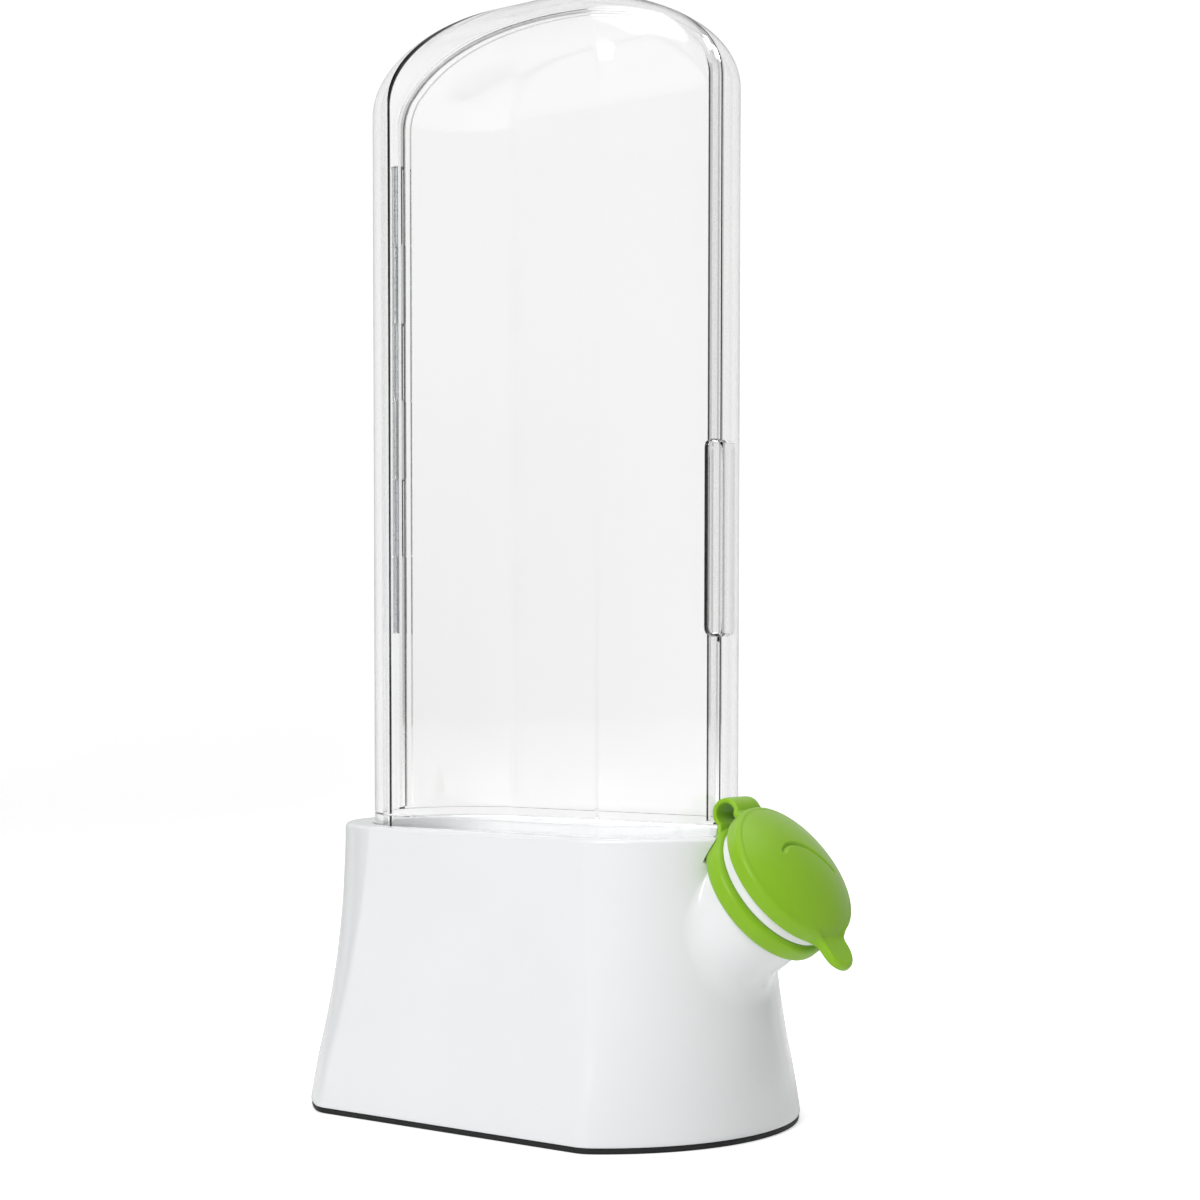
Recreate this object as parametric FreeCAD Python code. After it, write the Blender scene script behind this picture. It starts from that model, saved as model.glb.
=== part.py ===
import FreeCAD, Part
import math
import os
from FreeCAD import Vector

os.makedirs("parts", exist_ok=True)

# Herb keeper: a white flared water base with a slanted filler neck and a green
# silicone cap, and a clear upright pod whose broad side opens as a door.
# Millimetres. Z is up, the base stands on z = 0, the filler neck points to +X.

# Overall sizes
overall_height = 278.0
foot_beyond_rim = 6.0
foot_half_width = 43.0
foot_end_radius = 51.0
foot_corner_radius = 8.0
rim_height = 72.0
rim_beyond_pod = 8.3
rim_half_width = 31.5
rim_end_radius = 32.2
rim_corner_radius = 6.0
base_wall = 2.4
deck_thickness = 2.4

# How far the base has flared out at a share of the rim height
flare_steps = (
    (0.0, 1.0),
    (0.08, 0.90),
    (0.17, 0.77),
    (0.33, 0.50),
    (0.54, 0.235),
    (0.76, 0.07),
    (1.0, 0.0),
)

# Foot ring and base floor
foot_ring_height = 1.4
foot_ring_width = 6.0
foot_ring_inset = 0.3
floor_thickness = 2.2
floor_clearance = 0.15
stand_rib_thickness = 1.8
stand_rib_length = 70.0
stand_rib_spacing = 24.0
stand_rib_count = 4
upstand_height = 4.0
upstand_thickness = 1.4

# Pod
pod_half_length = 51.2
pod_half_width = 25.3
pod_end_radius = 26.6
pod_corner_radius = 3.5
pod_wall = 2.0
pod_bottom = 12.0
pod_crown_rise = 25.3
crown_steps = 9
crown_last_angle = 84.0
pod_inner_corner_share = 0.9
opening_clearance = 0.6
well_skirt_depth = 6.0
well_skirt_thickness = 1.6
seat_gap = 0.05
drain_slot_count = 6
drain_slot_length = 26.0
drain_slot_width = 4.0
drain_slot_end_margin = 14.0

# Seam between the fixed half and the door
seam_gap = 0.5
door_sill_lift = 3.0
tongue_thickness = 1.0
tongue_reach = 2.0
tongue_clearance = 0.2

# Door hinge at the back end
knuckle_radius = 1.7
knuckle_standoff = 0.2
knuckle_count = 6
knuckle_gap = 0.3
hinge_bottom = 121.0
hinge_top = 244.0
pin_radius = 0.9
pin_clearance = 0.05
pin_end_inset = 0.4

# Finger tab on the door at the front end
tab_bottom = 119.5
tab_top = 166.5
tab_overlap = 5.3
tab_root = 6.0
tab_thickness = 1.2
tab_clearance = 0.2

# Filler neck; distances along its axis count from the face of its lip
neck_tilt = 37.0
lip_beyond_rim = 10.1
lip_below_rim = 9.8
bore_radius = 12.0
neck_radius = 16.0
lip_radius = 16.8
lip_thickness = 3.2
groove_radius = 14.4
neck_run = 40.0
collar_recess_clearance = 0.6

# Green collar, strap and cap
collar_radius = 17.8
collar_thickness = 4.0
collar_fit = 0.05
cap_radius = 18.4
cap_side_height = 3.4
cap_dome_height = 5.2
cap_skin = 2.0
plug_clearance = 0.3
plug_wall = 1.8
plug_depth = 5.0
seal_rib_radius = 0.15
seal_rib_depth = 2.6
cap_tab_reach = 8.0
cap_tab_width = 9.0
cap_tab_thickness = 2.2
cap_tab_level = 0.7
strap_width = 10.0
strap_thickness = 1.4
strap_loop_radius = 3.2
strap_loop_distance = 20.2
wave_groove_radius = 0.55
wave_points = ((-6.9, 3.2), (-3.6, 4.6), (0.2, 4.2), (3.6, 1.9), (6.6, -0.6), (9.4, -3.4))

deck_bottom = rim_height - deck_thickness
lip_centre_z = rim_height - lip_below_rim
door_sill_height = rim_height + door_sill_lift
rim_half_length = pod_half_length + rim_beyond_pod
foot_half_length = rim_half_length + foot_beyond_rim
lip_centre_x = rim_half_length + lip_beyond_rim
knuckle_axis_x = -pod_half_length - knuckle_standoff - knuckle_radius


def plan_wire(half_length, half_width, end_radius, corner_radius, z):
    """Outline of a level cut: two straight sides, two bowed ends, four soft corners."""
    centre = half_length - end_radius
    reach = end_radius - corner_radius
    side = half_width - corner_radius
    corner = centre + math.sqrt(reach ** 2 - side ** 2)
    angle = math.atan2(side, corner - centre)
    middle = (angle + math.pi / 2) / 2
    points = []
    for turn in (-angle, 0.0, angle):
        x = centre + end_radius * math.cos(turn)
        points.append((x, end_radius * math.sin(turn)))
    for turn in (middle, math.pi / 2):
        x = corner + corner_radius * math.cos(turn)
        points.append((x, side + corner_radius * math.sin(turn)))
    start, tip, end, bend, flat = points
    quarter = [start, tip, end, bend, flat]
    first = [Vector(x, y, z) for x, y in quarter]
    second = [Vector(-x, -y, z) for x, y in quarter]
    edges = []
    for here, there in ((first, second), (second, first)):
        edges.append(Part.Arc(here[0], here[1], here[2]).toShape())
        edges.append(Part.Arc(here[2], here[3], here[4]).toShape())
        mirrored = Vector(-here[4].x, here[4].y, z)
        edges.append(Part.LineSegment(here[4], mirrored).toShape())
        bend_point = Vector(-here[3].x, here[3].y, z)
        edges.append(Part.Arc(mirrored, bend_point, there[0]).toShape())
    return Part.Wire(edges)


def base_outline(z, inset):
    """Outline of the flared base at height z, moved inwards by inset."""
    share = min(max(z / rim_height, 0.0), 1.0)
    flare = 0.0
    for (low, low_flare), (high, high_flare) in zip(flare_steps, flare_steps[1:]):
        if low <= share <= high:
            part_way = (share - low) / (high - low)
            flare = low_flare + part_way * (high_flare - low_flare)
    half_length = rim_half_length + flare * (foot_half_length - rim_half_length)
    half_width = rim_half_width + flare * (foot_half_width - rim_half_width)
    end_radius = rim_end_radius + flare * (foot_end_radius - rim_end_radius)
    corner = rim_corner_radius + flare * (foot_corner_radius - rim_corner_radius)
    return plan_wire(half_length - inset, half_width - inset, end_radius - inset, corner - inset, z)


def base_loft(bottom, top, inset):
    """Solid between two heights that follows the flare of the base."""
    heights = [bottom]
    for share, flare in flare_steps:
        height = share * rim_height
        if bottom + 1.5 < height < top - 1.5:
            heights.append(height)
    heights.append(top)
    wires = [base_outline(height, inset) for height in heights]
    return Part.makeLoft(wires, True, False)


def prism(half_length, half_width, end_radius, corner_radius, bottom, top):
    """Upright solid with the pod's kind of outline."""
    wire = plan_wire(half_length, half_width, end_radius, corner_radius, bottom)
    return Part.Face(wire).extrude(Vector(0, 0, top - bottom))


def pod_solid(inset, bottom):
    """The pod as a solid block with its domed crown, moved inwards by inset."""
    sizes = (
        pod_half_length - inset,
        pod_half_width - inset,
        pod_end_radius - inset,
        pod_corner_radius - inset * pod_inner_corner_share,
    )
    spring = overall_height - pod_crown_rise
    rise = pod_crown_rise - inset
    block = prism(*sizes, bottom, spring)
    wires = [plan_wire(*sizes, spring)]
    for step in range(1, crown_steps + 1):
        turn = math.radians(crown_last_angle * step / crown_steps)
        share = math.cos(turn)
        height = spring + rise * math.sin(turn) / math.sin(math.radians(crown_last_angle))
        wires.append(plan_wire(*[size * share for size in sizes], height))
    return block.fuse(Part.makeLoft(wires, True, False))


def slab(low_x, high_x, low_y, high_y, low_z, high_z):
    """Box between two opposite corners."""
    size = Vector(high_x - low_x, high_y - low_y, high_z - low_z)
    return Part.makeBox(size.x, size.y, size.z, Vector(low_x, low_y, low_z))


def neck_axis():
    """Unit direction out of the filler neck."""
    turn = math.radians(neck_tilt)
    return Vector(math.cos(turn), 0, math.sin(turn))


def neck_point(along, across, sideways=0.0):
    """Point given by its distance along the neck, towards the hinge and along Y."""
    turn = math.radians(neck_tilt)
    x = lip_centre_x + along * math.cos(turn) - across * math.sin(turn)
    z = lip_centre_z + along * math.sin(turn) + across * math.cos(turn)
    return Vector(x, sideways, z)


def neck_disc(radius, low, high):
    """Round slice of the neck between two distances along its axis."""
    return Part.makeCylinder(radius, high - low, neck_point(low, 0), neck_axis())


def neck_turned(profile):
    """Solid turned about the neck axis from (radius, distance) points."""
    points = [neck_point(along, radius) for radius, along in profile]
    points.append(points[0])
    face = Part.Face(Part.makePolygon(points))
    return face.revolve(neck_point(0, 0), neck_axis(), 360)


def make_base_shell():
    """Flared body with its deck, pod opening and filler neck."""
    outer = base_loft(foot_ring_height, rim_height, 0)
    cavity = base_loft(foot_ring_height - 0.5, deck_bottom, base_wall)
    neck = neck_disc(neck_radius, -neck_run, -lip_thickness)
    neck = neck.fuse(neck_disc(lip_radius, -lip_thickness, 0))
    collar_room = neck_disc(
        collar_radius + collar_recess_clearance, -lip_thickness - collar_thickness, 8
    ).cut(neck_disc(groove_radius, -neck_run, 9))
    lip = neck_disc(lip_radius, -lip_thickness, 0)
    shell = outer.fuse(neck).cut(collar_room).fuse(lip).cut(cavity)
    margin = opening_clearance
    opening = prism(
        pod_half_length + margin,
        pod_half_width + margin,
        pod_end_radius + margin,
        pod_corner_radius + margin,
        deck_bottom - well_skirt_depth - 1,
        rim_height + 1,
    )
    margin = opening_clearance + well_skirt_thickness
    skirt = prism(
        pod_half_length + margin,
        pod_half_width + margin,
        pod_end_radius + margin,
        pod_corner_radius + margin,
        rim_height - well_skirt_depth,
        deck_bottom + 0.5,
    )
    shell = shell.fuse(skirt).cut(opening)
    shell = shell.cut(neck_disc(bore_radius, -neck_run, 1))
    return shell.removeSplitter()


def make_base_floor():
    """Plate that closes the water base, with the ribs the pod stands on."""
    top = foot_ring_height + floor_thickness
    inset = base_wall + floor_clearance
    wire = base_outline(top, inset)
    wire.translate(Vector(0, 0, foot_ring_height - top))
    floor = Part.Face(wire).extrude(Vector(0, 0, floor_thickness))
    high = top + upstand_height
    ring_wire = base_outline(high, inset)
    ring_wire.translate(Vector(0, 0, top - high))
    inner_wire = base_outline(high, inset + upstand_thickness)
    inner_wire.translate(Vector(0, 0, top - high))
    ring = Part.Face(ring_wire).extrude(Vector(0, 0, upstand_height))
    ring = ring.cut(Part.Face(inner_wire).extrude(Vector(0, 0, upstand_height)))
    floor = floor.fuse(ring)
    rib_top = pod_bottom - seat_gap
    half = stand_rib_thickness / 2
    reach = pod_half_width - 4
    for number in range(stand_rib_count):
        x = (number - (stand_rib_count - 1) / 2) * stand_rib_spacing
        floor = floor.fuse(slab(x - half, x + half, -reach, reach, top, rib_top))
    length = stand_rib_length / 2
    floor = floor.fuse(slab(-length, length, -half, half, top, rib_top))
    return floor.removeSplitter()


def make_foot_ring():
    """Dark non-slip ring under the edge of the base."""
    outer = base_outline(foot_ring_height, foot_ring_inset)
    inner = base_outline(foot_ring_height, foot_ring_width)
    outer.translate(Vector(0, 0, -foot_ring_height))
    inner.translate(Vector(0, 0, -foot_ring_height))
    ring = Part.Face(outer).extrude(Vector(0, 0, foot_ring_height))
    return ring.cut(Part.Face(inner).extrude(Vector(0, 0, foot_ring_height)))


def knuckle(number):
    """One hinge knuckle and the web that holds it, on the door side or the fixed side."""
    pitch = (hinge_top - hinge_bottom) / knuckle_count
    low = hinge_bottom + number * pitch + knuckle_gap / 2
    height = pitch - knuckle_gap
    barrel = Part.makeCylinder(knuckle_radius, height, Vector(knuckle_axis_x, 0, low))
    near = seam_gap / 2
    far = knuckle_radius
    inside = -pod_half_length + pod_wall * 0.6
    if number % 2:
        web = slab(knuckle_axis_x, inside, -far, -near, low, low + height)
    else:
        web = slab(knuckle_axis_x, inside, near, far, low, low + height)
    bore = Part.makeCylinder(
        pin_radius + pin_clearance, height + 2, Vector(knuckle_axis_x, 0, low - 1)
    )
    return barrel.fuse(web).cut(bore)


def drain_slots():
    """Slots through the pod floor that let water in around the stems."""
    slots = []
    pitch = 2 * (pod_half_length - drain_slot_end_margin) / drain_slot_count
    for number in range(drain_slot_count):
        x = (number - (drain_slot_count - 1) / 2) * pitch
        half = drain_slot_length / 2
        width = drain_slot_width / 2
        slots.append(slab(x - width, x + width, -half, half, pod_bottom - 1, pod_bottom + 3))
    return slots


def make_pod_body(outer, inner):
    """Fixed half of the pod with its closed lower part, seam tongue and hinge knuckles."""
    shell = outer.cut(inner)
    side = pod_half_width + 5
    reach = pod_half_length + 5
    lower = slab(-reach, reach, -side, side, pod_bottom - 1, door_sill_height - seam_gap)
    back = slab(-reach, reach, seam_gap / 2, side, pod_bottom - 1, overall_height + 5)
    body = shell.common(lower.fuse(back))
    start = door_sill_height + tongue_clearance
    loose = pod_solid(pod_wall + tongue_clearance, pod_bottom)
    hollow = pod_solid(pod_wall + tongue_clearance + tongue_thickness, pod_bottom)
    rail = inner.cut(hollow)
    rail = rail.common(slab(-reach, reach, seam_gap / 2, 2.2, start, overall_height))
    tongue = loose.cut(hollow)
    tongue = tongue.common(slab(-reach, reach, -tongue_reach, 1.2, start, overall_height))
    body = body.fuse(rail).fuse(tongue)
    for number in range(0, knuckle_count, 2):
        body = body.fuse(knuckle(number))
    for slot in drain_slots():
        body = body.cut(slot)
    return body.removeSplitter()


def make_pod_door(outer, inner):
    """Door half of the pod with its finger tab and hinge knuckles."""
    shell = outer.cut(inner)
    side = pod_half_width + 5
    reach = pod_half_length + 5
    front = slab(-reach, reach, -side, -seam_gap / 2, door_sill_height, overall_height + 5)
    door = shell.common(front)
    for number in range(1, knuckle_count, 2):
        door = door.fuse(knuckle(number))
    return door.fuse(finger_tab()).removeSplitter()


def finger_tab():
    """Curved plate that laps over the seam at the front end."""
    lift = tab_clearance + tab_thickness
    plate = prism(
        pod_half_length + lift,
        pod_half_width + lift,
        pod_end_radius + lift,
        pod_corner_radius + lift,
        tab_bottom,
        tab_top,
    )
    gap = prism(
        pod_half_length + tab_clearance,
        pod_half_width + tab_clearance,
        pod_end_radius + tab_clearance,
        pod_corner_radius + tab_clearance,
        tab_bottom - 1,
        tab_top + 1,
    )
    core = prism(
        pod_half_length - 0.5,
        pod_half_width - 0.5,
        pod_end_radius - 0.5,
        pod_corner_radius - 0.5,
        tab_bottom - 1,
        tab_top + 1,
    )
    overlap = plate.cut(gap).common(
        slab(0, pod_half_length + 5, -seam_gap / 2 - 1, tab_overlap, tab_bottom, tab_top)
    )
    root = plate.cut(core).common(
        slab(0, pod_half_length + 5, -tab_root, -seam_gap / 2, tab_bottom, tab_top)
    )
    return overlap.fuse(root)


def make_hinge_pin():
    """Pin through the knuckles of the door hinge."""
    low = hinge_bottom + pin_end_inset
    height = hinge_top - pin_end_inset - low
    return Part.makeCylinder(pin_radius, height, Vector(knuckle_axis_x, 0, low))


def make_cap_collar():
    """Green ring that grips the groove behind the neck lip."""
    low = -lip_thickness - collar_thickness + collar_fit
    high = -lip_thickness - collar_fit
    inside = groove_radius + collar_fit
    soft = 1.2
    profile = (
        (inside, low),
        (collar_radius - soft, low),
        (collar_radius - soft * 0.3, low + soft * 0.3),
        (collar_radius, low + soft),
        (collar_radius, high - soft),
        (collar_radius - soft * 0.3, high - soft * 0.3),
        (collar_radius - soft, high),
        (inside, high),
    )
    return neck_turned(profile)


def dome_height_at(radius):
    """Height of the dome's skin over the lip face at a distance from the axis."""
    share = min(radius / cap_radius, 1.0)
    return cap_side_height + cap_dome_height * (1 - share ** 2.3)


def cap_profile():
    """Half section of the cap: plug skirt, flat seat, rounded side and dome."""
    plug = bore_radius - plug_clearance
    rib = seal_rib_radius
    points = [
        (plug - plug_wall, 1.0),
        (plug - plug_wall, -plug_depth),
        (plug - 0.6, -plug_depth),
        (plug, -plug_depth + 0.8),
        (plug, -seal_rib_depth - 0.5),
        (plug + rib, -seal_rib_depth),
        (plug, -seal_rib_depth + 0.5),
        (plug, 0.0),
        (cap_radius - 0.6, 0.0),
        (cap_radius, 0.6),
    ]
    for step in range(9):
        radius = cap_radius * (1 - (step / 8) ** 1.6)
        points.append((radius, dome_height_at(radius)))
    for step in range(6):
        radius = (plug - plug_wall) * step / 5
        points.append((radius, max(dome_height_at(radius) - cap_skin, 1.0)))
    return points


def make_cap():
    """Cap with its plug, pull tab and the wave sunk in its dome."""
    cap = neck_turned(cap_profile())
    low = cap_tab_level
    tip = cap_radius + cap_tab_reach
    half = cap_tab_width / 2
    end = Part.makeCylinder(half, cap_tab_thickness, neck_point(low, half - tip), neck_axis())
    corners = (
        (half - tip, -half),
        (half - tip, half),
        (3.0 - cap_radius, half + 1.4),
        (3.0 - cap_radius, -half - 1.4),
    )
    points = [neck_point(low, across, side) for across, side in corners]
    points.append(points[0])
    strip = Part.Face(Part.makePolygon(points)).extrude(neck_axis() * cap_tab_thickness)
    cap = cap.fuse(strip).fuse(end)
    cap = cap.cut(wave_groove())
    return cap.removeSplitter()


def wave_groove():
    """Thin tube along the wave line on the dome."""
    points = []
    for side, across in wave_points:
        radius = math.hypot(side, across)
        points.append(neck_point(dome_height_at(radius) + 0.1, across, side))
    curve = Part.BSplineCurve()
    curve.interpolate(points)
    path = Part.Wire(curve.toShape())
    start = curve.tangent(curve.FirstParameter)[0]
    ring = Part.Wire(Part.makeCircle(wave_groove_radius, points[0], start))
    return path.makePipeShell([ring], True, True)


def make_cap_strap(collar, cap):
    """Looped living hinge from the collar to the cap."""
    centre_along = -lip_thickness / 2
    outer = strap_curve(centre_along, strap_loop_radius + strap_thickness / 2, 1)
    inner = strap_curve(centre_along, strap_loop_radius - strap_thickness / 2, -1)
    outer_curve = Part.BSplineCurve()
    outer_curve.interpolate(outer)
    inner_curve = Part.BSplineCurve()
    inner_curve.interpolate(inner)
    edges = [
        outer_curve.toShape(),
        Part.LineSegment(outer[-1], inner[-1]).toShape(),
        inner_curve.toShape(),
        Part.LineSegment(inner[0], outer[0]).toShape(),
    ]
    face = Part.Face(Part.Wire(Part.__sortEdges__(edges)))
    band = face.extrude(Vector(0, strap_width, 0))
    band.translate(Vector(0, -strap_width / 2, 0))
    core = neck_disc(groove_radius + 1.0, -lip_thickness - collar_thickness, cap_side_height + 2)
    return band.cut(core).cut(collar).cut(cap)


def strap_curve(centre_along, radius, side):
    """One face of the looped strap in the middle plane of the neck."""
    half = strap_thickness / 2 * side
    low_leg = -lip_thickness - collar_thickness / 2
    high_leg = cap_side_height / 2 + 0.2
    root = collar_radius - 1.4
    points = [neck_point(low_leg - half, root, 0)]
    for step in range(9):
        turn = math.radians(215 - step * 250 / 8)
        along = centre_along + radius * math.cos(turn)
        across = strap_loop_distance + radius * math.sin(turn)
        points.append(neck_point(along, across, 0))
    points.append(neck_point(high_leg + half, root, 0))
    return points


def main():
    """Build every piece and write it to its own file."""
    outer = pod_solid(0, pod_bottom)
    inner = pod_solid(pod_wall, pod_bottom + pod_wall)
    collar = make_cap_collar()
    cap = make_cap()
    pieces = {
        "base_shell": make_base_shell(),
        "base_floor": make_base_floor(),
        "foot_ring": make_foot_ring(),
        "pod_body": make_pod_body(outer, inner),
        "pod_door": make_pod_door(outer, inner),
        "hinge_pin": make_hinge_pin(),
        "cap_collar": collar,
        "cap_strap": make_cap_strap(collar, cap),
        "cap": cap,
    }
    for name, shape in pieces.items():
        solids = len(shape.Solids)
        box = shape.BoundBox
        print(name, "solids", solids, "valid", shape.isValid(), "volume", round(shape.Volume))
        print("   x", round(box.XMin, 1), round(box.XMax, 1), "y", round(box.YMin, 1), round(box.YMax, 1))
        print("   z", round(box.ZMin, 1), round(box.ZMax, 1))
        shape.exportStep("parts/" + name + ".step")


main()
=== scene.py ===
import math
import bmesh
import bpy
import numpy as np
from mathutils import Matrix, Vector


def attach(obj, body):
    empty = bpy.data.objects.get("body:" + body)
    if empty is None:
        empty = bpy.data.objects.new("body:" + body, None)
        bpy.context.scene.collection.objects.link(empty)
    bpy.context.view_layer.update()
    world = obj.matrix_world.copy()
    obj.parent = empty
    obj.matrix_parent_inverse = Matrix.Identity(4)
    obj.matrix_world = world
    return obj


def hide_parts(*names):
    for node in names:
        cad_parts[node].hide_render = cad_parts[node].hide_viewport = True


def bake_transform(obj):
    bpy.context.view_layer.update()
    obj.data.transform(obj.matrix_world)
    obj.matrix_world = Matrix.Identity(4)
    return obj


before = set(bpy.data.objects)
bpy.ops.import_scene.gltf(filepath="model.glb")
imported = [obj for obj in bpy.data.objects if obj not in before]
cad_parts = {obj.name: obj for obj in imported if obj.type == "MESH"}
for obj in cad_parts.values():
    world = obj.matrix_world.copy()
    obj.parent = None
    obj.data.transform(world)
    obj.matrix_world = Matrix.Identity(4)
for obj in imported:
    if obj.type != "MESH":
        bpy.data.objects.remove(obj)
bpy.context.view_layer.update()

mm = 0.001

# Outline of a level cut: two straight sides, two bowed ends and four soft corners.


def outlinePoints(halfLength, halfWidth, endRadius, cornerRadius, detail):
    # Quarter turn by arcs: the end arc about (L - R, 0), then the corner arc, then half the side
    centre = halfLength - endRadius
    reach = endRadius - cornerRadius
    side = halfWidth - cornerRadius
    corner = centre + np.sqrt(reach ** 2 - side ** 2)
    angle = np.arctan2(side, corner - centre)
    endTurn = np.linspace(0, angle, detail["end"], endpoint=False)
    cornerTurn = np.linspace(angle, np.pi / 2, detail["corner"], endpoint=False)
    run = np.linspace(corner, 0, detail["side"])
    x = np.concatenate([
        centre + endRadius * np.cos(endTurn), corner + cornerRadius * np.cos(cornerTurn), run])
    y = np.concatenate([
        endRadius * np.sin(endTurn), side + cornerRadius * np.sin(cornerTurn),
        np.full(len(run), halfWidth)])
    return x, y


def halfOutline(halfLength, halfWidth, endRadius, cornerRadius, detail):
    # From the front end's middle round one broad side to the back end's middle
    x, y = outlinePoints(halfLength, halfWidth, endRadius, cornerRadius, detail)
    return np.concatenate([x, -x[-2::-1]]), np.concatenate([y, y[-2::-1]])


def fullOutline(halfLength, halfWidth, endRadius, cornerRadius, detail):
    x, y = halfOutline(halfLength, halfWidth, endRadius, cornerRadius, detail)
    return np.concatenate([x, x[-2:0:-1]]), np.concatenate([y, -y[-2:0:-1]])


def addMesh(name, points, faces, body, material):
    # A finished piece: its place is in its mesh and its object stays at the origin
    mesh = bpy.data.meshes.new(name)
    mesh.from_pydata(np.asarray(points, float) * mm, [], faces)
    mesh.update()
    piece = bpy.data.objects.new(name, mesh)
    bpy.context.scene.collection.objects.link(piece)
    mesh.materials.append(material)
    mesh.polygons.foreach_set("use_smooth", np.ones(len(mesh.polygons), bool))
    if body:
        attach(piece, body)
    return piece


def gridFaces(rows, columns, closeRows=False, closeColumns=False, start=0):
    # Quads between neighbouring rows and columns of a grid of points
    r = np.arange(rows if closeRows else rows - 1)[:, None]
    c = np.arange(columns if closeColumns else columns - 1)[None, :]
    a = r * columns + c
    b = r * columns + (c + 1) % columns
    d = ((r + 1) % rows) * columns + c
    e = ((r + 1) % rows) * columns + (c + 1) % columns
    quads = np.stack([a, b, e, d], axis=-1).reshape(-1, 4) + start
    return quads.tolist()


def outward(piece, sharp=None):
    # Merges doubles, turns the faces outwards and marks edges sharper than an angle
    work = bmesh.new()
    work.from_mesh(piece.data)
    bmesh.ops.remove_doubles(work, verts=work.verts, dist=1e-6)
    bmesh.ops.dissolve_degenerate(work, dist=1e-7, edges=work.edges)
    bmesh.ops.recalc_face_normals(work, faces=work.faces)
    if work.calc_volume(signed=True) < 0:
        bmesh.ops.reverse_faces(work, faces=work.faces)
    work.to_mesh(piece.data)
    work.free()
    if sharp:
        piece.data.set_sharp_from_angle(angle=math.radians(sharp))
    return piece


def hexColour(text):
    # sRGB hex to linear, by the standard curve
    values = [int(text[i:i + 2], 16) / 255 for i in (0, 2, 4)]
    return [v / 12.92 if v <= 0.04045 else ((v + 0.055) / 1.055) ** 2.4 for v in values] + [1.0]


def addNode(tree, kind, settings=None, inputs=None, links=()):
    # Adds one node with its settings, its input values and its links in
    node = tree.nodes.new(kind)
    for key, value in (settings or {}).items():
        setattr(node, key, value)
    for key, value in (inputs or {}).items():
        node.inputs[key].default_value = value
    for source, outlet, inlet in links:
        tree.links.new(source.outputs[outlet], node.inputs[inlet])
    return node


def newMaterial(name):
    material = bpy.data.materials.new(name)
    material.use_nodes = True
    tree = material.node_tree
    shader = tree.nodes["Principled BSDF"]
    return material, tree, shader


print("materials")

finish = {
    "baseColour": "f4f5f6",
    "baseTint": "eceef0",
    "floorColour": "e4e6e8",
    "footColour": "141516",
    "clearColour": "fafafa",
    "siliconeLight": "92c416",
    "siliconeDark": "80b410",
    "pinColour": "c8cbce",
}


def makeGlossyAbs():
    # Injection moulded white ABS, polished tool: smooth gloss with a very faint flow ripple
    material, tree, shader = newMaterial("glossyWhiteAbs")
    place = addNode(tree, "ShaderNodeTexCoord")
    cloud = addNode(tree, "ShaderNodeTexNoise", inputs={"Scale": 28.0, "Detail": 2.0},
                    links=[(place, "Object", "Vector")])
    colour = addNode(tree, "ShaderNodeMix", {"data_type": "RGBA"}, links=[(cloud, "Fac", 0)])
    colour.inputs[6].default_value = hexColour(finish["baseColour"])
    colour.inputs[7].default_value = hexColour(finish["baseTint"])
    tree.links.new(colour.outputs[2], shader.inputs["Base Color"])
    smear = addNode(tree, "ShaderNodeMapRange", inputs={1: 0.3, 2: 0.7, 3: 0.16, 4: 0.22},
                    links=[(cloud, "Fac", 0)])
    tree.links.new(smear.outputs[0], shader.inputs["Roughness"])
    ripple = addNode(tree, "ShaderNodeTexNoise", inputs={"Scale": 90.0, "Detail": 1.0},
                     links=[(place, "Object", "Vector")])
    bump = addNode(tree, "ShaderNodeBump", inputs={"Strength": 0.02, "Distance": 0.0004},
                   links=[(ripple, "Fac", "Height")])
    tree.links.new(bump.outputs[0], shader.inputs["Normal"])
    shader.inputs["IOR"].default_value = 1.54
    shader.inputs["Coat Weight"].default_value = 0.25
    shader.inputs["Coat Roughness"].default_value = 0.06
    return material


def makeSatinPlastic(name, colour, rough):
    # Moulded polypropylene with a fine spark-eroded grain
    material, tree, shader = newMaterial(name)
    place = addNode(tree, "ShaderNodeTexCoord")
    grain = addNode(tree, "ShaderNodeTexNoise", inputs={"Scale": 1400.0, "Detail": 2.0},
                    links=[(place, "Object", "Vector")])
    bump = addNode(tree, "ShaderNodeBump", inputs={"Strength": 0.15, "Distance": 0.0001},
                   links=[(grain, "Fac", "Height")])
    tree.links.new(bump.outputs[0], shader.inputs["Normal"])
    smear = addNode(tree, "ShaderNodeMapRange", inputs={1: 0.3, 2: 0.7, 3: rough - 0.05, 4: rough + 0.05},
                    links=[(grain, "Fac", 0)])
    tree.links.new(smear.outputs[0], shader.inputs["Roughness"])
    shader.inputs["Base Color"].default_value = hexColour(colour)
    shader.inputs["IOR"].default_value = 1.49
    return material


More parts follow.
